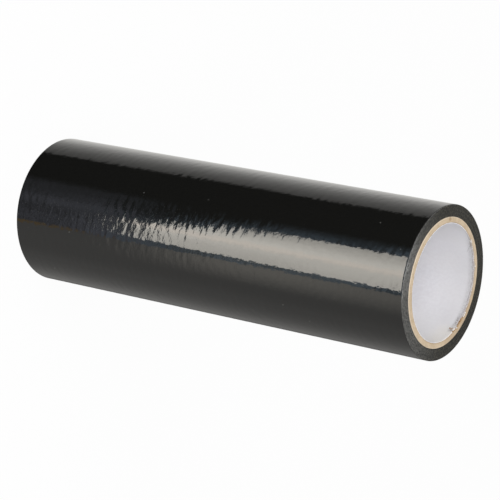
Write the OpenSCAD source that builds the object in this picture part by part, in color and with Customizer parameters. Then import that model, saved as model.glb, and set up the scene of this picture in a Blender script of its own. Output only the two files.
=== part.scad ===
// Roll of black protective film, wound on a paperboard core with a white paper
// lining. The roll stands on one end: +Z runs up its axis, and the origin is
// the centre of the end that it stands on.

/* [Film] */
// Width of the film, from edge to edge
film_width = 310; // [60:5:600]
// Depth of film wound on the core, from the core out
wound_depth = 8; // [4:0.5:70]
// Thickness of the film, which is the step at its free edge
film_gauge = 0.08; // [0.03:0.01:0.3]
// Where the free edge of the outer turn lies, counted from +X
free_edge_angle = 115; // [0:5:355]
// Radius worn onto the rim of each end
rim_wear = 0.35; // [0.1:0.05:1]

/* [Turns at the ends] */
// Width of one band of turns that wandered together
band_width = 0.55; // [0.3:0.05:1.5]
// Deepest that a band lies below the end face
band_depth = 0.3; // [0.05:0.05:1]
// Width of the plain outermost turns, inside the worn rim
plain_turns = 0.5; // [0.2:0.1:2]

/* [Core] */
// Bore of the finished core
core_bore = 76; // [50:1:80]
// Thickness of the brown board
board_wall = 3.6; // [2:0.05:5]
// How far the core stands out of the film at each end
core_proud = 0.2; // [0.1:0.1:2]
// Bevel left by the knife on the board's outer corner
board_bevel = 0.25; // [0.1:0.05:0.8]

/* [Lining] */
// Thickness of the white paper ply
lining_wall = 0.35; // [0.2:0.05:0.8]
// Thickness of the glue between the ply and the board
glue_line = 0.05; // [0.05:0.05:0.3]
// Where the middle of the torn edge lies, counted from +X
tear_angle = 57; // [0:1:359]
// Length of the torn edge, measured across
tear_length = 23; // [12:1:40]
// Depth of the torn edge at its middle
tear_depth = 1.6; // [0.5:0.1:6]
// Length of the deeper nick at the low end of the torn edge
nick_length = 7; // [3:0.5:10]
// Depth of that nick
nick_depth = 2.2; // [0.5:0.1:6]

/* [Hidden] */
$fn = 180;
// Cutters reach this far past the face that they cut
over = 1;

bore_r = core_bore / 2;
lining_r = bore_r + lining_wall;
board_ir = lining_r + glue_line;
core_r = board_ir + board_wall;
film_r = core_r + wound_depth;
core_length = film_width + 2 * core_proud;
film_bottom = core_proud;
film_top = film_bottom + film_width;

// The bands run from the core to the plain outermost turns
plain_r = film_r - film_gauge - rim_wear - plain_turns;
band_count = floor((plain_r - core_r) / band_width);
bands_r = core_r + band_count * band_width;

// Every band is at least this share of band_depth below the end face
shallowest = 0.15;
// Angles that scatter the depths from band to band and from end to end
band_step = 137.5;
end_step = 61;
function scatter(i, end) = abs(sin((i + 1) * band_step + end * end_step));
function depth(i, end) = band_depth * (shallowest + (1 - shallowest) * scatter(i, end));

// Stepped outline that takes the bands below the end face at height 0
function band_steps(end) = [
    for (i = [0 : band_count - 1], side = [0, 1])
        [core_r + (i + side) * band_width, -depth(i, end)]
];

// One worn corner of the section, from its end face round to its side
function worn_corner(r, z, up) = [
    for (a = [0 : 22.5 : 90])
        [r - rim_wear * (1 - sin(a)), z + up * rim_wear * (1 - cos(a))]
];
function reversed(points) = [for (i = [len(points) - 1 : -1 : 0]) points[i]];

// Section of the wound film from its axis out
module film_section(r) {
    polygon(concat(
        [[0, film_bottom]],
        worn_corner(r, film_bottom, 1),
        reversed(worn_corner(r, film_top, -1)),
        [[0, film_top]]
    ));
}

// Half a turn: the outer turn drops by one film gauge over it
module half_turn(r, shift) {
    translate([shift, 0, 0])
        rotate_extrude(angle = 180)
            film_section(r);
}

// Outline of the last turn, as two half turns that leave a step at +X
module wound_turns() {
    half_turn(film_r - film_gauge / 2, film_gauge / 2);
    mirror([0, 1, 0])
        half_turn(film_r - film_gauge, 0);
}

module end_bands(end) {
    rotate_extrude()
        polygon(concat(
            [[core_r - over, over], [core_r - over, -depth(0, end)]],
            band_steps(end),
            [[bands_r, over]]
        ));
}

module film() {
    color([0.08, 0.08, 0.08])
        difference() {
            rotate([0, 0, free_edge_angle])
                wound_turns();
            translate([0, 0, -over])
                cylinder(h = core_length + 2 * over, r = core_r);
            translate([0, 0, film_top])
                end_bands(0);
            translate([0, 0, film_bottom])
                mirror([0, 0, 1])
                    end_bands(1);
        }
}

module core() {
    color([0.80, 0.68, 0.50])
        rotate_extrude()
            polygon([
                [board_ir, 0],
                [core_r - board_bevel, 0],
                [core_r, board_bevel],
                [core_r, core_length - board_bevel],
                [core_r - board_bevel, core_length],
                [board_ir, core_length]
            ]);
}

// A drum lying across the upper edge, which bites a shallow arc out of the lining
module bite(angle, length, depth) {
    drum_r = (pow(length / 2, 2) + pow(depth, 2)) / (2 * depth);
    rotate([0, 0, angle])
        translate([0, 0, core_length - depth + drum_r])
            rotate([0, 90, 0])
                cylinder(h = lining_r + over, r = drum_r);
}

// The nick lies where the torn edge starts, so it moves with the edge's length
module tear() {
    bite(tear_angle, tear_length, tear_depth);
    bite(tear_angle - asin(tear_length / 2 / bore_r), nick_length, nick_depth);
}

module core_lining() {
    color([0.86, 0.86, 0.88])
        difference() {
            cylinder(h = core_length, r = lining_r);
            translate([0, 0, -over])
                cylinder(h = core_length + 2 * over, r = bore_r);
            tear();
        }
}

film();
core();
core_lining();
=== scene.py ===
import math

import bmesh
import bpy
from mathutils import Matrix, Quaternion, Vector, noise


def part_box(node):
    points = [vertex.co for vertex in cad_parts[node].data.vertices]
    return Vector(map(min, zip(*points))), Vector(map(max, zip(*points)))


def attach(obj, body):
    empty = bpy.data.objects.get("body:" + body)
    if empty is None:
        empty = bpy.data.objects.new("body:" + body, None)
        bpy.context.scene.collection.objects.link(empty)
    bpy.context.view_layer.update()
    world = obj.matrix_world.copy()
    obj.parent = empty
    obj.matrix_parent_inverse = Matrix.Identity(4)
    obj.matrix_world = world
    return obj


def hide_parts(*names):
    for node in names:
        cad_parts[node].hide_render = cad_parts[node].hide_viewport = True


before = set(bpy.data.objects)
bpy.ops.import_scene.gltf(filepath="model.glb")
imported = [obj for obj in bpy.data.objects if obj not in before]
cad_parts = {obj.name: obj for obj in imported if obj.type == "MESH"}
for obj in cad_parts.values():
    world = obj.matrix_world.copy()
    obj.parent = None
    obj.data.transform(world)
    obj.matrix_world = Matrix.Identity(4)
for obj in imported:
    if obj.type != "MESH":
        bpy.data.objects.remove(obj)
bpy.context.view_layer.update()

# Camera
# The roll stands on its far end, so the camera is rolled over by the angle that lays the
# roll across the picture, with its open end at the right and nearer than the other.
camera_seat = Vector((0.0, -1.2138, 0.9760))
camera_aim = Vector((0.0031, 0.0030, 0.1601))
camera_roll = math.radians(101.1)
camera = bpy.data.objects.new("camera", bpy.data.cameras.new("camera"))
camera.data.sensor_width = 36.0
camera.data.lens = 158.5
camera.data.clip_start = 0.01
camera.data.clip_end = 20.0
camera.location = camera_seat
camera.rotation_mode = "QUATERNION"
level_view = (camera_aim - camera_seat).to_track_quat("-Z", "Y")
camera.rotation_quaternion = level_view @ Quaternion((0, 0, 1), camera_roll)
bpy.context.scene.collection.objects.link(camera)
bpy.context.scene.camera = camera


# Core board
# The tube that the film is wound on: plies of brown board wound on the slant and glued,
# then cut square with a rotary knife, which bevels the outer corner and lifts some fibre.
core_low, core_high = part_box("core")
core_radius = 0.0420
board_inner = 0.0384
board_bevel = 0.00025
board_segments = 288
board_rings = 16
board_end_zone = 0.006
board_fuzz = 0.00005
fuzz_size = 0.0009
ragged_bore = 0.00016
ragged_length = 0.0022
ragged_zone = 0.004
chip_middle = math.radians(53)
chip_length = 0.013
chip_reach = 0.0011
chip_depth = 0.0007
crumble_size = 0.0007
ply_thickness = 0.00062
smudge_turn = 190.9
smudge_radius = 0.0406
smudge_size = 0.0022
darker_side_turn = 58
board_dark = (0.51, 0.39, 0.255, 1)
board_light = (0.69, 0.56, 0.405, 1)
ply_line = (0.45, 0.32, 0.19, 1)
pale_rim = (0.78, 0.67, 0.52, 1)
darker_side_board = (0.44, 0.31, 0.185, 1)
brown_rim = (0.38, 0.24, 0.13, 1)
chip_tone = (0.40, 0.245, 0.13, 1)
smudge_tone = (0.25, 0.14, 0.06, 1)
bared_dark = (0.24, 0.135, 0.06, 1)
bared_light = (0.54, 0.37, 0.21, 1)


def section(corners, cuts):
    """A closed wire section. Its corners are (radius, height), and each side is cut evenly."""
    shape = bmesh.new()
    points = [shape.verts.new((radius, 0, height)) for radius, height in corners]
    still_to_cut = shape.edges.layers.int.new("cuts")
    for start, end, cut in zip(points, points[1:] + points[:1], cuts):
        shape.edges.new((start, end))[still_to_cut] = cut
    for cut in sorted(set(cuts) - {0}):
        sides = [side for side in shape.edges if side[still_to_cut] == cut]
        bmesh.ops.subdivide_edges(shape, edges=sides, cuts=cut)
    return shape


def lathe(corners, cuts, segments):
    """Spins a section round the roll's axis into a closed ring."""
    shape = section(corners, cuts)
    parts = shape.verts[:] + shape.edges[:]
    bmesh.ops.spin(
        shape, geom=parts, axis=(0, 0, 1), angle=math.tau, steps=segments, use_merge=True
    )
    bmesh.ops.recalc_face_normals(shape, faces=shape.faces[:])
    return shape


def finished(shape, name, materials):
    """Makes a smooth mesh object of a shape, which is used up."""
    mesh = bpy.data.meshes.new(name)
    for face in shape.faces:
        face.smooth = True
    shape.to_mesh(mesh)
    shape.free()
    for material in materials:
        mesh.materials.append(material)
    piece = bpy.data.objects.new(name, mesh)
    bpy.context.scene.collection.objects.link(piece)
    return piece


def polar(place):
    """Angle round the roll's axis from +X, in radians from 0 to a full turn."""
    return math.atan2(place.y, place.x) % math.tau


def ramped(value, low, high):
    """0 below low and 1 above high, with a straight rise between them."""
    return min(1.0, max(0.0, (value - low) / (high - low)))


def arc_bite(turn, middle, length, depth):
    """Depth that a shallow arc takes out of the bore's rim at this angle."""
    away = board_inner * math.sin(turn - middle) / (length / 2)
    if math.cos(turn - middle) < 0 or abs(away) > 1:
        return 0.0
    return depth * (1 - away * away)


class Wire:
    """A socket in a material. Arithmetic on it adds Math nodes to the same material."""

    def __init__(self, tree, socket=None):
        self.tree = tree
        self.socket = socket

    def node(self, kind, settings=None, inputs=None, output=0):
        """Adds a node, sets its settings, then fills its sockets with values or links."""
        made = self.tree.nodes.new(kind)
        settings = dict(settings or {})
        stops = settings.pop("stops", None)
        for name, value in settings.items():
            setattr(made, name, value)
        if stops:
            ramp = made.color_ramp
            while len(ramp.elements) < len(stops):
                ramp.elements.new(0.5)
            for element, (place, shade) in zip(ramp.elements, stops):
                element.position = place
                element.color = (*shade, 1.0)
        for name, value in (inputs or {}).items():
            if isinstance(value, Wire):
                self.tree.links.new(value.socket, made.inputs[name])
            else:
                made.inputs[name].default_value = value
        return Wire(self.tree, made.outputs[output])

    def math(self, operation, *values):
        return self.node("ShaderNodeMath", {"operation": operation}, dict(enumerate(values)))

    def __add__(self, other):
        return self.math("ADD", self, other)

    def __radd__(self, other):
        return self.math("ADD", other, self)

    def __sub__(self, other):
        return self.math("SUBTRACT", self, other)

    def __rsub__(self, other):
        return self.math("SUBTRACT", other, self)

    def __mul__(self, other):
        return self.math("MULTIPLY", self, other)

    def __rmul__(self, other):
        return self.math("MULTIPLY", other, self)

    def __truediv__(self, other):
        return self.math("DIVIDE", self, other)

    def __rtruediv__(self, other):
        return self.math("DIVIDE", other, self)

    def at_most(self, limit):
        return self.math("MINIMUM", self, limit)

    def at_least(self, limit):
        return self.math("MAXIMUM", self, limit)

    def unsigned(self):
        return self.math("ABSOLUTE", self)

    def between(self, low, high):
        """0 below low and 1 above high, with a smooth rise between them."""
        return self.node(
            "ShaderNodeMapRange",
            {"interpolation_type": "SMOOTHSTEP"},
            {"Value": self, "From Min": low, "From Max": high},
        )

    def blend(self, first, second):
        """The first colour where this is 0, and the second where it is 1."""
        return self.node("ShaderNodeMix", {"data_type": "RGBA"}, {0: self, 6: first, 7: second}, 2)


def new_material(name):
    """A material with a Principled shader, and a wire to build the rest from."""
    material = bpy.data.materials.new(name)
    material.use_nodes = True
    return material, Wire(material.node_tree)


def set_shader(material, **inputs):
    """Sets or links sockets of the material's Principled shader, by their names."""
    shader = material.node_tree.nodes["Principled BSDF"]
    for name, value in inputs.items():
        socket = shader.inputs[name.replace("_", " ")]
        if isinstance(value, Wire):
            material.node_tree.links.new(value.socket, socket)
        else:
            socket.default_value = value


def object_place(start):
    """The place on the piece, and its x, y and z apart, in metres."""
    place = start.node("ShaderNodeTexCoord", output="Object")
    parts = [start.node("ShaderNodeSeparateXYZ", inputs={0: place}, output=i) for i in range(3)]
    return place, *parts


def stretched(place, size):
    """The place counted in cells of this size along x, y and z."""
    return place.node("ShaderNodeVectorMath", {"operation": "DIVIDE"}, {0: place, 1: size})


def cloud(place, size, detail=2.0):
    """Smooth noise from about 0.2 to 0.8 in cells of this size."""
    return place.node(
        "ShaderNodeTexNoise",
        inputs={"Vector": stretched(place, size), "Scale": 1.0, "Detail": detail},
    )


def bump(wire, height, strength, distance):
    """A normal from a height between about 0 and 1, which stands for this distance."""
    return wire.node(
        "ShaderNodeBump", inputs={"Strength": strength, "Distance": distance, "Height": height}
    )


def radius_of(x, y):
    return x.math("SQRT", x * x + y * y)


def facing(x, y, turn):
    """Cosine of the angle between a place and a direction round the roll, in degrees."""
    aim = math.radians(turn)
    return (x * math.cos(aim) + y * math.sin(aim)) / radius_of(x, y)


def spot(x, y, turn, radius, size):
    """1 at a spot on the roll's end, falling to 0 at size away from it."""
    across = x - radius * math.cos(math.radians(turn))
    up = y - radius * math.sin(math.radians(turn))
    return 1 - radius_of(across, up).between(size * 0.3, size)


core_corners = [
    (board_inner, core_low.z),
    (core_radius - board_bevel, core_low.z),
    (core_radius, core_low.z + board_bevel),
    (core_radius, core_high.z - board_bevel),
    (core_radius - board_bevel, core_high.z),
    (board_inner, core_high.z),
    (board_inner, core_high.z - board_end_zone),
    (board_inner, core_low.z + board_end_zone),
]
core_cuts = [board_rings, 1, 3, 1, board_rings, 11, 3, 11]
board = lathe(core_corners, core_cuts, board_segments)
for corner in board.verts:
    turn = polar(corner.co)
    radius = corner.co.xy.length
    near_end = min(corner.co.z - core_low.z, core_high.z - corner.co.z)
    upper = corner.co.z > core_low.z + 0.01
    rim = Vector((math.cos(turn), math.sin(turn), 0)) * board_inner
    if near_end < 0.00001:
        lift = noise.noise(corner.co / fuzz_size)
        sunk = board_fuzz * (0.5 + lift)
        if upper:
            crumble = 0.6 + noise.noise(corner.co / crumble_size)
            rim_share = 1 - ramped(radius, board_inner, board_inner + chip_reach)
            sunk += crumble * rim_share * arc_bite(turn, chip_middle, chip_length, chip_depth)
        corner.co.z += -sunk if upper else sunk
    if radius < board_inner + 0.0001:
        wander = noise.noise(rim / ragged_length) + 0.5 * noise.noise(rim / (0.4 * ragged_length))
        hold = max(0.0, 1 - near_end / ragged_zone)
        stretch = 1 + ragged_bore * wander * hold / board_inner
        corner.co.x *= stretch
        corner.co.y *= stretch

board_paint, wire = new_material("brown_board")
place, x, y, z = object_place(wire)
radius = radius_of(x, y)
fibre = cloud(place, (0.0007, 0.0007, 0.0007), 4.0)
patch = cloud(place, (0.005, 0.005, 0.008), 2.0)
plies = wire.math("SINE", radius / ply_thickness * math.tau)
cut_face = radius.between(board_inner + 0.00005, board_inner + 0.0002)
pale = radius.between(core_radius - 0.0006, core_radius - 0.0002)
smudge = spot(x, y, smudge_turn, smudge_radius, smudge_size)
# The board's face is made darker towards 58 degrees round the roll.
darker_side = facing(x, y, darker_side_turn).between(0.70, 0.97)
chip_inside = 1 - radius.between(board_inner + chip_reach * 0.5, board_inner + chip_reach)
chipped = facing(x, y, math.degrees(chip_middle)).between(0.984, 0.992) * chip_inside
browned = 1 - radius.between(board_inner + 0.0003, board_inner + 0.0009)
browned = browned * fibre.between(0.45, 0.6)
tone = fibre.between(0.25, 0.75) * 0.55 + patch.between(0.3, 0.7) * 0.45
face_tone = tone.blend(board_dark, board_light)
face_tone = (plies * 0.05 + 0.05).blend(face_tone, ply_line)
face_tone = (pale * (0.25 + fibre * 0.7)).blend(face_tone, pale_rim)
face_tone = (darker_side * 0.40).blend(face_tone, darker_side_board)
face_tone = (browned * 0.45).blend(face_tone, brown_rim)
chipped = chipped * (fibre.between(0.35, 0.6) * 0.5 + 0.4)
face_tone = chipped.blend(face_tone, chip_tone)
face_tone = (smudge * 0.55).blend(face_tone, smudge_tone)
bared = fibre.between(0.35, 0.65).blend(bared_dark, bared_light)
board_colour = cut_face.blend(bared, face_tone)
set_shader(
    board_paint,
    Base_Color=board_colour,
    Roughness=0.82 + fibre * 0.12,
    Normal=bump(wire, fibre + plies * 0.05, 0.6, 0.00025),
)
core_board = finished(board, "core_board", [board_paint])
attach(core_board, "root")
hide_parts("core")


# Core lining
# One ply of white paper glued inside the board, with a soft, fibrous face. The knife tore and
# scuffed its edge at the near end, and rolled some of it outwards over the board.
lining_low, lining_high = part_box("core_lining")
lining_inner = 0.0380
lining_outer = 0.03835
lining_segments = 480
edge_zone = 0.008
edge_rows = 26
tear_middle = math.radians(53)
tear_length = 0.012
tear_depth = 0.0008
nick_middle = math.radians(40.5)
nick_length = 0.0032
nick_depth = 0.0009
scuffed_from = math.radians(22)
scuffed_to = math.radians(150)
rolled_from = math.radians(58)
rolled_to = math.radians(146)
roll_out = 0.00030
lift_zone = 0.0040
lift_most = 0.00060
lift_at_tear = 0.00025
crease_size = 0.0017
fold_shadow_from = 135.0
fold_shadow_to = 126.0
fold_shadow_start = 0.0011
fold_shadow_rise = 0.00041
stain_turn = 136.5
upper_painted_light_turn = 178
lower_painted_light_turn = 4
right_painted_shade_turn = 84
scuff_and_shade_turn = 92
cut_edge_shade_turn = 96
warm_turn = 24
paper_dark = (0.775, 0.765, 0.80, 1)
paper_light = (0.825, 0.82, 0.855, 1)
upper_painted_light_tone = (0.90, 0.89, 0.92, 1)
lower_painted_light_tone = (0.90, 0.89, 0.89, 1)
right_painted_shade_tone = (0.66, 0.65, 0.67, 1)
broad_tone = (0.835, 0.82, 0.825, 1)
edge_shade_tone = (0.40, 0.38, 0.38, 1)
torn_shadow_tone = (0.30, 0.27, 0.26, 1)
cut_edge_shade_tone = (0.40, 0.36, 0.34, 1)
fold_shadow_tone = (0.36, 0.33, 0.32, 1)
stain_tone = (0.32, 0.26, 0.21, 1)
warm_tone = (0.86, 0.82, 0.75, 1)


def scuff_at(turn):
    """1 in the part of the edge that the knife tore and scuffed, and 0 away from it."""
    start = ramped(turn, scuffed_from, scuffed_from + 0.25)
    return start * ramped(-turn, -scuffed_to, 0.3 - scuffed_to)


def tear_at(turn):
    """How far the paper's edge lies below the cut end of the board at this angle."""
    rim = Vector((math.cos(turn), math.sin(turn), 0)) * lining_inner
    torn = max(
        arc_bite(turn, tear_middle, tear_length, tear_depth),
        arc_bite(turn, nick_middle, nick_length, nick_depth),
    )
    coarse = noise.noise(rim / 0.0035)
    fine = noise.noise(rim / 0.0011 + Vector((5, 0, 0)))
    scuffed = scuff_at(turn)
    rough = 1 + 3 * (torn > 0)
    ragged = (0.00006 + 0.00016 * scuffed) * (0.5 + coarse)
    ragged += (0.00003 + 0.00008 * scuffed) * fine * rough
    return max(-0.00002, torn + ragged)


def rolled_at(turn):
    """How far the paper's edge is pushed outwards over the board's face at this angle."""
    rim = Vector((math.cos(turn), math.sin(turn), 0)) * lining_inner
    ragged = 0.9 + 0.7 * noise.noise(rim / 0.005) + 0.35 * noise.noise(rim / 0.0012)
    start = ramped(turn, rolled_from, rolled_from + 0.12)
    reach = start * ramped(-turn, -rolled_to, 0.3 - rolled_to)
    return roll_out * reach * max(0.0, ragged)


lining_corners = [
    (lining_inner, lining_low.z),
    (lining_inner, lining_high.z - edge_zone),
    (lining_inner, lining_high.z),
    (lining_outer, lining_high.z),
    (lining_outer, lining_high.z - edge_zone),
    (lining_outer, lining_low.z),
]
lining = lathe(lining_corners, [60, edge_rows, 2, edge_rows, 3, 1], lining_segments)
for corner in lining.verts:
    turn = polar(corner.co)
    height = corner.co.z
    radius = corner.co.xy.length
    share = max(0.0, (height - (lining_high.z - edge_zone)) / edge_zone)
    outwards = ramped(radius, lining_inner, lining_outer)
    corner.co.z -= share * tear_at(turn)
    wave = noise.noise(Vector((corner.co.x / 0.012, corner.co.y / 0.012, height / 0.02)))
    crease_place = Vector((corner.co.x, corner.co.y, height * 0.8)) / crease_size
    crease = 1 - 2.5 * abs(noise.noise(crease_place))
    lifted = ramped(height, lining_high.z - lift_zone, lining_high.z) ** 1.5 * scuff_at(turn)
    change = -0.00003 * (1 + wave) - lift_most * lifted * (0.35 + 0.65 * max(0.0, crease))
    change -= lift_at_tear * lifted * arc_bite(turn, tear_middle, tear_length * 1.4, 1.0)
    if height > lining_high.z - 0.00001:
        change += rolled_at(turn) * (0.35 + 0.65 * outwards) + lift_most * lifted * 0.5
        corner.co.z += 0.00006 * ramped(rolled_at(turn), 0, roll_out / 2)
    corner.co.x *= 1 + change / radius
    corner.co.y *= 1 + change / radius

lining_paint, wire = new_material("white_paper")
place, x, y, z = object_place(wire)
mottle = cloud(place, (0.0018, 0.0018, 0.0022), 4.0)
fluff = cloud(place, (0.0010, 0.0010, 0.0008), 3.0)
broad = cloud(place, (0.016, 0.016, 0.02), 1.0)
below_end = lining_high.z - z
turn = wire.math("ARCTAN2", y, x) * (180 / math.pi)
near_edge = z.between(lining_high.z - 0.0055, lining_high.z - 0.0003)
# The zone by the edge towards 92 degrees: scuffed fibre in the bump, and painted shade in the
# colour.
scuffed = near_edge * facing(x, y, scuff_and_shade_turn).between(0.45, 0.80)
paper_tone = mottle.between(0.3, 0.7).blend(paper_dark, paper_light)
# Painted light: the paper is lighter on the side towards 178 degrees.
upper_painted_light = facing(x, y, upper_painted_light_turn).between(0.1, 0.9)
paper_tone = (upper_painted_light * 0.75).blend(paper_tone, upper_painted_light_tone)
# Painted light: the paper is lighter on the side towards 4 degrees.
lower_painted_light = facing(x, y, lower_painted_light_turn).between(0.2, 0.95)
paper_tone = (lower_painted_light * 0.6).blend(paper_tone, lower_painted_light_tone)
# Painted shade: the paper is darker on the side towards 84 degrees, from its end down to about 30
# mm below it.
right_painted_shade = z.between(lining_high.z - 0.030, lining_high.z - 0.004)
right_painted_shade = right_painted_shade * facing(x, y, right_painted_shade_turn).between(0.60, 0.95)
paper_tone = (right_painted_shade * 0.6).blend(paper_tone, right_painted_shade_tone)
paper_tone = (broad.between(0.3, 0.7) * 0.25).blend(paper_tone, broad_tone)
# Painted shade: grey on the paper, growing towards its end over the last 5.5 mm.
edge_painted_shade = scuffed * (fluff.between(0.42, 0.60) * 0.6 + 0.4)
paper_tone = (edge_painted_shade * 0.55).blend(paper_tone, edge_shade_tone)
# Painted shade: a mottled warm grey darkening of the paper's cut end and the 1.6 mm below it, on
# the side towards 96 degrees.
cut_edge = z.between(lining_high.z - 0.0016, lining_high.z - 0.0004)
cut_edge = cut_edge * facing(x, y, cut_edge_shade_turn).between(0.30, 0.75)
cut_edge_shade = cut_edge * (fluff.between(0.36, 0.58) * 0.5 + 0.35)
# Painted shadow in mottled spots at the tear, down to about 4 mm below the paper's end.
torn_shade = facing(x, y, math.degrees(tear_middle)).between(0.990, 0.998)
torn_shade = torn_shade * z.between(lining_high.z - 0.0040, lining_high.z - 0.0022)
torn_shade = torn_shade * fluff.between(0.40, 0.56)
paper_tone = (torn_shade * 0.6).blend(paper_tone, torn_shadow_tone)
paper_tone = cut_edge_shade.blend(paper_tone, cut_edge_shade_tone)
# Painted shadow of a fold in the paper: a thin grey line from 1.1 mm below the end at 135 degrees
# down to about 4.8 mm at 126 degrees.
from_fold_shadow = below_end - fold_shadow_start - (fold_shadow_from - turn) * fold_shadow_rise + (fluff - 0.5) * 0.0012
fold_shadow = 1 - from_fold_shadow.unsigned().between(0.0001, 0.0004)
fold_shadow = fold_shadow * turn.between(fold_shadow_to - 1, fold_shadow_to + 1)
fold_shadow = fold_shadow * (1 - turn.between(fold_shadow_from - 0.5, fold_shadow_from + 1.5))
paper_tone = (fold_shadow * 0.4).blend(paper_tone, fold_shadow_tone)
stain = 1 - (turn - stain_turn).unsigned().between(1.0, 3.0)
stain = stain * (1 - below_end.between(0.0008, 0.0018))
paper_tone = (stain * 0.55).blend(paper_tone, stain_tone)
warmed = facing(x, y, warm_turn).between(0.88, 0.99) * broad.between(0.3, 0.6)
warmed = warmed * (1 - below_end.between(0.004, 0.018))
paper_tone = (warmed * 0.6).blend(paper_tone, warm_tone)
set_shader(
    lining_paint,
    Base_Color=paper_tone,
    Roughness=0.86 + fluff * 0.1,
    Normal=bump(wire, mottle * 0.8 + fluff * (0.4 + scuffed), 0.25, 0.00030),
)
core_lining = finished(lining, "core_lining_paper", [lining_paint])
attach(core_lining, "root")
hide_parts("core_lining")


# Torn tongue of the lining
# A shred that the knife tore from the lining's edge at the near end. It hangs on at one side,
# folds in over the bore and shows the side that was glued, with brown board fibre at its tip.
tongue_root = math.radians(43.5)
tongue_swing = math.radians(-5.5)
tongue_reach = 0.0034
tongue_drop = 0.0014
tongue_start = 0.0005
tongue_width = 0.0032
tongue_thick = 0.00022
shred_dark = (0.62, 0.58, 0.55, 1)
shred_light = (0.82, 0.80, 0.79, 1)
board_fibre = (0.24, 0.15, 0.085, 1)

tongue = bmesh.new()
bmesh.ops.create_grid(tongue, x_segments=12, y_segments=10, size=0.5)
for corner in tongue.verts:
    out = corner.co.x + 0.5
    side = corner.co.y
    ripple = noise.noise(Vector((out * 2.2, side * 2.2, 4.0)))
    frayed = noise.noise(Vector((out * 5.0, side * 6.0, 8.0)))
    width = tongue_width * (1 - 0.62 * out) * (1 + 0.5 * frayed)
    turn = tongue_root + tongue_swing * out + side * width / lining_inner
    radius = lining_inner + 0.00012 - tongue_reach * out ** 1.2 * (1 + 0.15 * ripple)
    height = lining_high.z - tongue_start - tongue_drop * out ** 1.7 + 0.0005 * ripple * out
    corner.co = (radius * math.cos(turn), radius * math.sin(turn), height)
bmesh.ops.recalc_face_normals(tongue, faces=tongue.faces[:])
bmesh.ops.solidify(tongue, geom=tongue.faces[:], thickness=tongue_thick)
bmesh.ops.recalc_face_normals(tongue, faces=tongue.faces[:])

tongue_paint, wire = new_material("torn_paper")
place, x, y, z = object_place(wire)
fluff = cloud(place, (0.0009, 0.0009, 0.0009), 3.0)
at_tip = 1 - radius_of(x, y).between(0.0362, 0.0376)
shred_tone = fluff.between(0.3, 0.7).blend(shred_dark, shred_light)
shred_tone = (at_tip * (0.4 + fluff * 0.8).at_most(1.0)).blend(shred_tone, board_fibre)
set_shader(
    tongue_paint,
    Base_Color=shred_tone,
    Roughness=0.9 + fluff * 0.08,
    Normal=bump(wire, fluff, 0.6, 0.0003),
)
torn_tongue = finished(tongue, "torn_tongue", [tongue_paint])
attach(torn_tongue, "root")


# Paper fluff
# Small tufts of white paper fibre that the cut left standing on the lining's edge, each
# pressed on the rim between the lining and the board.
tufts = [
    (140.5, 0.03880, 0.00034),
    (138.8, 0.03860, 0.00032),
    (111.5, 0.03895, 0.00036),
    (65.5, 0.03865, 0.00034),
    (63.0, 0.03860, 0.00042),
    (61.0, 0.03845, 0.00034),
    (46.5, 0.03835, 0.00032),
]
tuft_long = 1.7
tuft_flat = 0.55
tuft_dark = (0.72, 0.70, 0.68, 1)
tuft_light = (0.88, 0.87, 0.87, 1)

fluff_shape = bmesh.new()
for turn, radius, size in tufts:
    made = bmesh.ops.create_icosphere(fluff_shape, subdivisions=3, radius=size)
    for corner in made["verts"]:
        frayed = noise.noise(corner.co / (size * 0.7) + Vector((turn, 0, 0)))
        corner.co *= 1 + 0.7 * frayed
        corner.co.y *= tuft_long
        corner.co.z *= tuft_flat
    swing = Matrix.Rotation(math.radians(turn), 4, "Z")
    seat = Matrix.Translation((radius, 0, lining_high.z + size * 0.15))
    bmesh.ops.transform(fluff_shape, matrix=swing @ seat, verts=made["verts"])
bmesh.ops.recalc_face_normals(fluff_shape, faces=fluff_shape.faces[:])

fluff_paint, wire = new_material("paper_fibre")
place, x, y, z = object_place(wire)
strand = cloud(place, (0.0004, 0.0004, 0.0004), 2.0)
set_shader(
    fluff_paint,
    Base_Color=strand.blend(tuft_dark, tuft_light),
    Roughness=0.9 + strand * 0.08,
    Normal=bump(wire, strand, 0.6, 0.0002),
)
paper_fluff = finished(fluff_shape, "paper_fluff", [fluff_paint])
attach(paper_fluff, "root")


# Film
# Black polyethylene film wound tight on the core. Fine wrinkles run round it, the outer
# turn ends in a step of one film thickness, and the cut turns are satin at the ends.
film_low, film_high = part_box("film")
film_radius = 0.0500
film_gauge = 0.00008
free_edge = math.radians(115)
rim_wear = 0.00035
film_segments = 170
film_rows = 440
turn_rings = 34
band_width = 0.00055
band_depth = 0.00016
band_scatter = 137.5
lower_end_shift = 61
smooth_zone = 0.004
fold_width = 0.0034
fold_length = 0.0070
fold_height = 0.000032
dimple_width = 0.0036
dimple_length = 0.0036
dimple_height = 0.000050
crease_width = 0.0015
crease_length = 0.0042
crease_height = 0.000028
pucker_width = 0.0030
pucker_length = 0.0020
pucker_height = 0.000034
wrinkle_lean = 0.18
wrinkle_drift = 0.0016
speck_spacing = 0.013
dark_film = (0.0062, 0.0062, 0.0056, 1)
dust_and_rim_highlight = (0.20, 0.20, 0.19, 1)
camera_side = 270
rim_highlight_turn = 240
sheen_turn = 290
second_sheen_turn = 265
rim_line_highlight_turn = 268
crumple_turn = 264
crumple_radius = 0.0483
crumple_size = 0.0034
turn_line = 0.00016
end_dark = (0.001, 0.0008, 0.0002, 1)
end_light = (0.050, 0.046, 0.032, 1)
painted_sheen_tone = (0.155, 0.154, 0.147, 1)
shadow_at_core = (0.004, 0.004, 0.004, 1)
rim_highlight_tone = (0.26, 0.26, 0.25, 1)
crumple_glint_tone = (0.40, 0.40, 0.39, 1)

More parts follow.
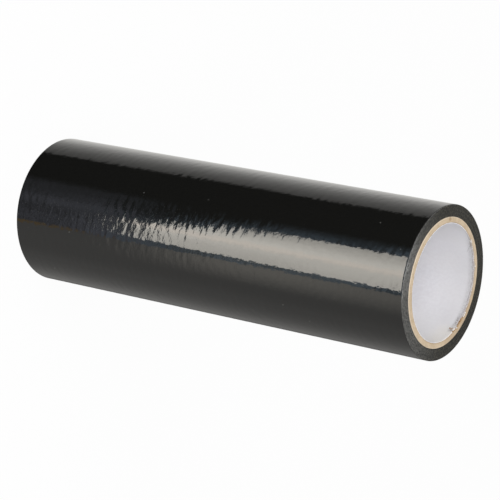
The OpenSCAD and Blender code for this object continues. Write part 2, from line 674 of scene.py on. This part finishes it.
rim_points = [
    (
        film_radius - rim_wear * (1 - math.sin(math.radians(step))),
        rim_wear * (1 - math.cos(math.radians(step))),
    )
    for step in (0, 22.5, 45, 67.5, 90)
]
film_corners = [(core_radius, film_low.z)]
film_corners += [(radius, film_low.z + height) for radius, height in rim_points]
film_corners += [(radius, film_high.z - height) for radius, height in reversed(rim_points)]
film_corners += [(core_radius, film_high.z)]
film_cuts = [turn_rings, 0, 0, 0, 0, film_rows, 0, 0, 0, 0, turn_rings, 2]


def wound(corners, cuts, segments):
    """Like lathe, but the last turn of the film drops by its thickness to the free edge."""
    shape = section(corners, cuts)
    first_edges = shape.edges[:]
    parts = shape.verts[:] + first_edges
    spun = bmesh.ops.spin(shape, geom=parts, axis=(0, 0, 1), angle=math.tau, steps=segments)
    last_edges = [part for part in spun["geom_last"] if isinstance(part, bmesh.types.BMEdge)]
    last = {corner for edge in last_edges for corner in edge.verts}
    for corner in shape.verts:
        turn = math.tau if corner in last else polar(corner.co)
        if corner not in last and turn > math.tau - 0.001:
            turn = 0.0
        shape_film(corner, turn)
    bmesh.ops.bridge_loops(shape, edges=first_edges + last_edges)
    bmesh.ops.remove_doubles(shape, verts=shape.verts[:], dist=0.000001)
    bmesh.ops.rotate(shape, verts=shape.verts[:], matrix=Matrix.Rotation(free_edge, 3, "Z"))
    bmesh.ops.recalc_face_normals(shape, faces=shape.faces[:])
    return shape


def wrinkle(around, along):
    """Height of the wrinkles, in metres, at a length round the roll and one along it."""
    drift = wrinkle_drift * noise.noise(Vector((around / 0.030, along / 0.014, 3)))
    leaning = along + wrinkle_lean * around + drift
    fold = noise.noise(Vector((around / fold_length, leaning / fold_width, 0)))
    dimple = noise.noise(Vector((around / dimple_length, leaning / dimple_width, 9)))
    calm = 0.95 + 0.5 * noise.noise(Vector((around / 0.045, along / 0.035, 20)))
    return calm * (fold_height * fold + dimple_height * dimple)


def shape_film(corner, turn):
    """Sets the free edge, the wrinkles and the bands of turns at the ends."""
    radius = corner.co.xy.length
    outer = ramped(radius, film_radius - 0.0008, film_radius - 0.0004)
    near_end = min(corner.co.z - film_low.z, film_high.z - corner.co.z)
    change = -film_gauge * outer * turn / math.tau
    if radius > film_radius - 0.00001:
        hold = min(1.0, near_end / smooth_zone)
        change += wrinkle(film_radius * turn, corner.co.z) * hold
    if near_end < 0.00001 and radius < film_radius - rim_wear - 0.0001:
        band = math.floor((radius - core_radius) / band_width)
        upper = corner.co.z > 0.1
        scatter_angle = (band + 1) * band_scatter + (0 if upper else lower_end_shift)
        scatter = abs(math.sin(math.radians(scatter_angle)))
        sunk = band_depth * (0.15 + 0.85 * scatter)
        if radius < core_radius + 0.0001:
            sunk = band_depth * 2
        corner.co.z += -sunk if upper else sunk
    corner.co.x *= 1 + change / radius
    corner.co.y *= 1 + change / radius


def rim_highlight_flecks(place, x, y, z):
    """1 in flecks along the near rim on one side, where a pale highlight is painted on the outer
    turns.
    """
    flecks = cloud(place, (0.0011, 0.0011, 0.0006), 3.0).between(0.42, 0.62)
    rim = radius_of(x, y).between(film_radius - 0.0008, film_radius - 0.0004)
    rim = rim * z.between(film_high.z - 0.0006, film_high.z - 0.0003)
    return flecks * rim * facing(x, y, rim_highlight_turn).between(0.45, 0.80)


side_paint, wire = new_material("black_film")
place, x, y, z = object_place(wire)
seam_x = -math.cos(free_edge)
seam_y = -math.sin(free_edge)
around = wire.math("ARCTAN2", y * seam_x - x * seam_y, x * seam_x + y * seam_y) * film_radius
drift = (cloud(place, (0.014, 0.014, 0.010)) - 0.5) * (wrinkle_drift * 2)
leaning = z + around * wrinkle_lean + drift
crease_place = wire.node("ShaderNodeCombineXYZ", inputs={0: around, 1: leaning, 2: 0.0})
crease = cloud(crease_place, (crease_length, crease_width, 1.0), 3.0)
pucker = cloud(crease_place, (pucker_length, pucker_width, 1.0), 1.0)
haze = cloud(place, (0.020, 0.020, 0.004), 2.0)
dust = wire.node(
    "ShaderNodeTexVoronoi",
    inputs={"Vector": stretched(place, [speck_spacing] * 3), "Scale": 1.0},
)
speck = 1 - dust.between(0.016, 0.025)
side_tone = speck.blend(dark_film, dust_and_rim_highlight)
# Painted highlight: pale flecks on the side's rim by the near end.
side_tone = (rim_highlight_flecks(place, x, y, z) * 0.25).blend(side_tone, dust_and_rim_highlight)
set_shader(
    side_paint,
    Base_Color=side_tone,
    Roughness=0.035 + haze * 0.035 + speck * 0.4,
    Normal=bump(wire, crease + pucker * (pucker_height / crease_height), 1.0, crease_height),
)

end_paint, wire = new_material("cut_turns")
place, x, y, z = object_place(wire)
radius = radius_of(x, y)
turns = wire.node(
    "ShaderNodeTexNoise",
    {"noise_dimensions": "1D"},
    {"W": radius / turn_line, "Scale": 1.0, "Detail": 2.0},
)
grain = cloud(place, (0.0019, 0.0019, 0.0019), 4.0)
grit = cloud(place, (0.0010, 0.0010, 0.0010), 3.0)
# Painted sheen: the cut turns are lighter over the half towards 290 degrees, most from 265 to 290
# degrees, flecked with painted glints.
painted_sheen = facing(x, y, sheen_turn).between(0.0, 1.0) * 0.7
painted_sheen = painted_sheen + facing(x, y, second_sheen_turn).between(0.90, 1.0) * 0.6
# Painted highlight: pale glints in a small crumpled spot on the end face.
crumple_glints = spot(x, y, crumple_turn, crumple_radius, crumple_size) * grit.between(0.50, 0.58)
next_to_core = 1 - radius.between(core_radius + 0.0002, core_radius + 0.0008)
next_to_core = next_to_core * (1 - facing(x, y, camera_side).between(0.3, 0.8))
# Painted highlight: a pale line on the end face about 1 mm inside the rim, on the side towards 268
# degrees.
rim_highlight_line = radius.between(film_radius - 0.0014, film_radius - 0.0009)
rim_highlight_line = rim_highlight_line * facing(x, y, rim_line_highlight_turn).between(0.85, 0.97)
raised = turns * 0.25 + grain.between(0.40, 0.60) * 0.3 + grit.between(0.44, 0.58) * 0.5
end_tone = (raised * raised).blend(end_dark, end_light)
glint = grit.between(0.45, 0.58) * 0.8 + grain.between(0.42, 0.58) * 0.3
painted_sheen = (painted_sheen * (0.2 + glint * 0.9)).at_most(1.0)
end_tone = painted_sheen.blend(end_tone, painted_sheen_tone)
end_tone = (next_to_core * 0.7).blend(end_tone, shadow_at_core)
rim_highlight_line = rim_highlight_line * (0.1 + grit.between(0.40, 0.60) * 0.6)
end_tone = rim_highlight_line.blend(end_tone, rim_highlight_tone)
# Painted highlight: pale flecks on the outer turns at the near rim.
end_tone = (rim_highlight_flecks(place, x, y, z) * 0.8).blend(end_tone, rim_highlight_tone)
end_tone = (crumple_glints * 0.8).blend(end_tone, crumple_glint_tone)
set_shader(
    end_paint,
    Base_Color=end_tone,
    Roughness=0.42 + grain * 0.15,
    Specular_IOR_Level=0.26,
    Normal=bump(wire, turns + grain + grit * 1.2, 0.8, 0.00022),
)

roll = wound(film_corners, film_cuts, film_segments)
for face in roll.faces:
    middle = face.calc_center_median()
    on_end = middle.xy.length < film_radius - 0.0002
    face.material_index = 1 if on_end else 0
film_roll = finished(roll, "film_roll", [side_paint, end_paint])
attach(film_roll, "root")
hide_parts("film")


# Floor
# A plain white floor that the roll stands on. The camera sees it close to white, and it
# still takes the roll's shadow.
floor_half = 6.0
floor_glow = 0.955
floor_tone = (0.90, 0.90, 0.90, 1)
floor_shape = bmesh.new()
bmesh.ops.create_grid(floor_shape, x_segments=1, y_segments=1, size=floor_half)
floor_paint, wire = new_material("floor_white")
set_shader(floor_paint, Base_Color=floor_tone, Roughness=0.9)


def seen_directly(wire):
    """1 for camera, glossy and transmission rays, and 0 for the rays that light things."""
    seen = wire.node("ShaderNodeLightPath", output="Is Camera Ray")
    seen = seen + wire.node("ShaderNodeLightPath", output="Is Glossy Ray")
    seen = seen + wire.node("ShaderNodeLightPath", output="Is Transmission Ray")
    return seen.at_most(1.0)


glow = wire.node("ShaderNodeEmission", inputs={"Color": (1, 1, 1, 1), "Strength": 1.0})
plain = Wire(floor_paint.node_tree, floor_paint.node_tree.nodes["Principled BSDF"].outputs[0])
floor_mix = wire.node(
    "ShaderNodeMixShader", inputs={0: seen_directly(wire) * floor_glow, 1: plain, 2: glow}
)
floor_output = floor_paint.node_tree.nodes["Material Output"]
floor_paint.node_tree.links.new(floor_mix.socket, floor_output.inputs["Surface"])
floor = finished(floor_shape, "floor", [floor_paint])
floor.visible_glossy = False


# Surroundings that the film mirrors
# A wrap of white backdrop and table, a dark room above, and one tall soft light, as they
# stand round the roll. Only mirror rays meet it, in place of the floor.
wrap_radius = 1.0
wrap_low = -2.2
wrap_high = 0.7
table_tint = (1.0, 0.985, 0.955)
ramp_top = 1.2
table_stops = [
    (0, 0.53), (40, 0.46), (58, 0.37), (70, 0.21), (90, 0.18), (100, 0.80), (127, 1.15),
    (140, 1.02), (162, 0.66), (180, 0.40), (270, 0.70), (318, 0.65), (342, 0.56),
]
room_tone = (0.02, 0.02, 0.02, 1)
backdrop_edge = 176.0
backdrop_tilt = -9.0
backdrop_middle = -0.55
backdrop_wave = 14.0
table_edge = 298.8
table_tilt = 10.0
table_turns_at = -0.45
light_stops = [
    (245, 0.55), (251, 0.65), (257, 0.77), (263, 0.89), (270, 1.0), (274, 0.87), (280, 0.79),
    (290, 0.69),
]
light_top_level = 10.6
light_foot = 292.6
light_foot_tilt = 5.0
light_shoulder = 245.0
light_slant = 125.0
slant_from = -0.40
light_far_end = -0.600
light_near_end = -0.165
light_middle = 270.0
light_edge_tone = (1.0, 0.96, 0.875, 1)
light_middle_tone = (1.0, 0.92, 0.82, 1)
halo_blue = (0.46, 0.62, 0.77, 1)
halo_far = (0.42, 0.44, 0.53, 1)
brown_wall = (0.90, 0.64, 0.32, 1)
gap_middle = -0.43
gap_glow = (0.38, 0.37, 0.34)
table_glow = (0.85, 0.80, 0.70)


def added(wire, first, second):
    """The sum of two colours, which may pass 1."""
    return wire.node("ShaderNodeVectorMath", {"operation": "ADD"}, {0: first, 1: second})


def dimmed(wire, colour, share):
    """A colour times a number."""
    return wire.node("ShaderNodeVectorMath", {"operation": "SCALE"}, {0: colour, "Scale": share})


wrap_paint, wire = new_material("surroundings")
wrap_paint.node_tree.nodes.remove(wrap_paint.node_tree.nodes["Principled BSDF"])
place, x, y, z = object_place(wire)
angle = wire.math("ARCTAN2", y, x) * (180 / math.pi) + 360
angle = angle.math("MODULO", angle, 360.0)
streaks = cloud(place, (0.35, 0.35, 0.020), 2.0)
table_ramp = [
    (turn / 360, [level / ramp_top * part for part in table_tint]) for turn, level in table_stops
]
surround = wire.node("ShaderNodeValToRGB", {"stops": table_ramp}, {0: angle / 360})
surround = dimmed(wire, surround, ramp_top)
from_backdrop = angle - backdrop_edge - (z - backdrop_middle) * backdrop_tilt
from_backdrop = from_backdrop + (streaks - 0.5) * backdrop_wave
past_backdrop = from_backdrop.between(-1.2, 1.2)
from_table = angle - table_edge - (table_turns_at - z).at_least(0.0) * table_tilt
past_room = from_table.between(-0.9, 0.9)
room = past_backdrop * (1 - past_room)
surround = room.blend(surround, room_tone)
left_end = 1 - z.between(-0.68, -0.54)
light_top = (slant_from - z).at_least(0.0) * light_slant + light_shoulder
above_foot = angle - light_foot - (z - table_turns_at) * light_foot_tilt
above_foot = 1 - above_foot.between(-0.6, 0.6)
light_length = z.between(light_far_end - 0.008, light_far_end + 0.008)
light_length = light_length * (1 - z.between(light_near_end - 0.03, light_near_end + 0.03))
light_mask = (angle - light_top).between(-0.6, 0.6) * above_foot * light_length
light_ramp = [(turn / 360, (level, level, level)) for turn, level in light_stops]
light_level = wire.node("ShaderNodeValToRGB", {"stops": light_ramp}, {0: angle / 360})
light_level = light_level * light_top_level
light_core = 1 - (angle - light_middle).unsigned().between(1.5, 6.0)
light_colour = light_core.blend(light_edge_tone, light_middle_tone)
light_colour = dimmed(wire, light_colour, light_level * (0.78 + streaks * 0.42))
halo_above = (angle - light_top).between(-18.0, 1.0)
halo_left = angle.between(225.0, 237.0) * 0.4 + angle.between(237.0, 266.0) * 0.5
halo_left = left_end * halo_left
halo = halo_above.at_least(halo_left) * (1 - past_room) * z.between(-1.1, -0.7)
halo = halo * (0.25 + streaks.between(0.35, 0.65) * 1.5)
halo_colour = left_end.blend(halo_blue, halo_far)
surround = added(wire, surround, dimmed(wire, halo_colour, halo))
brown_edge = (1 - z.between(-0.74, -0.67)) * from_table.between(-4.6, -3.6) * (1 - past_room)
surround = brown_edge.blend(surround, brown_wall)
mid_gap = 1 - (z - gap_middle).unsigned().between(0.05, 0.20)
mid_gap = mid_gap * (angle - light_foot).between(-1.0, 1.0)
surround = added(wire, surround, dimmed(wire, gap_glow, mid_gap * (1 - past_room)))
near_table = z.between(-0.68, -0.44) * (1 - angle.between(302, 334))
near_table = near_table * past_room * angle.between(280, 290)
near_table = near_table * (1.25 - z.between(-0.40, -0.24) * 0.3)
surround = added(wire, surround, dimmed(wire, table_glow, near_table))
surround = light_mask.blend(surround, light_colour)
wrap_glow = wire.node("ShaderNodeEmission", inputs={"Color": surround, "Strength": 1.0})
wrap_output = wrap_paint.node_tree.nodes["Material Output"]
wrap_paint.node_tree.links.new(wrap_glow.socket, wrap_output.inputs["Surface"])
wrap_paint.cycles.emission_sampling = "NONE"
wrap_shape = bmesh.new()
bmesh.ops.create_cone(
    wrap_shape,
    cap_ends=False,
    segments=96,
    radius1=wrap_radius,
    radius2=wrap_radius,
    depth=wrap_high - wrap_low,
    matrix=Matrix.Translation((0, 0, (wrap_high + wrap_low) / 2)),
)
wrap = finished(wrap_shape, "surroundings", [wrap_paint])
for ray in ("camera", "diffuse", "shadow", "transmission", "volume_scatter"):
    setattr(wrap, "visible_" + ray, False)


# Lamps
# One long soft lamp over the camera shades the paper and the board, and an even white
# world lights the rest.
sky_level = 0.45
lamp_seat = Vector((-0.25, -1.20, 1.55))
lamp_aim = Vector((0, 0, 0.25))
lamp_long = 2.8
lamp_wide = 1.0
lamp_watts = 32.0
lamp = bpy.data.objects.new("key", bpy.data.lights.new("key", "AREA"))
lamp.data.shape = "RECTANGLE"
lamp.data.size = lamp_long
lamp.data.size_y = lamp_wide
lamp.data.energy = lamp_watts
lamp.location = lamp_seat
lamp.rotation_mode = "QUATERNION"
lamp.rotation_quaternion = (lamp_aim - lamp_seat).to_track_quat("-Z", "Y")
bpy.context.scene.collection.objects.link(lamp)

world = bpy.data.worlds.new("world")
world.use_nodes = True
bpy.context.scene.world = world
wire = Wire(world.node_tree)
sky = world.node_tree.nodes["Background"]
sky.inputs["Color"].default_value = (1, 1, 1, 1)
sky_strength = sky_level + seen_directly(wire) * (1 - sky_level)
world.node_tree.links.new(sky_strength.socket, sky.inputs["Strength"])
bpy.context.scene.view_settings.view_transform = "Standard"
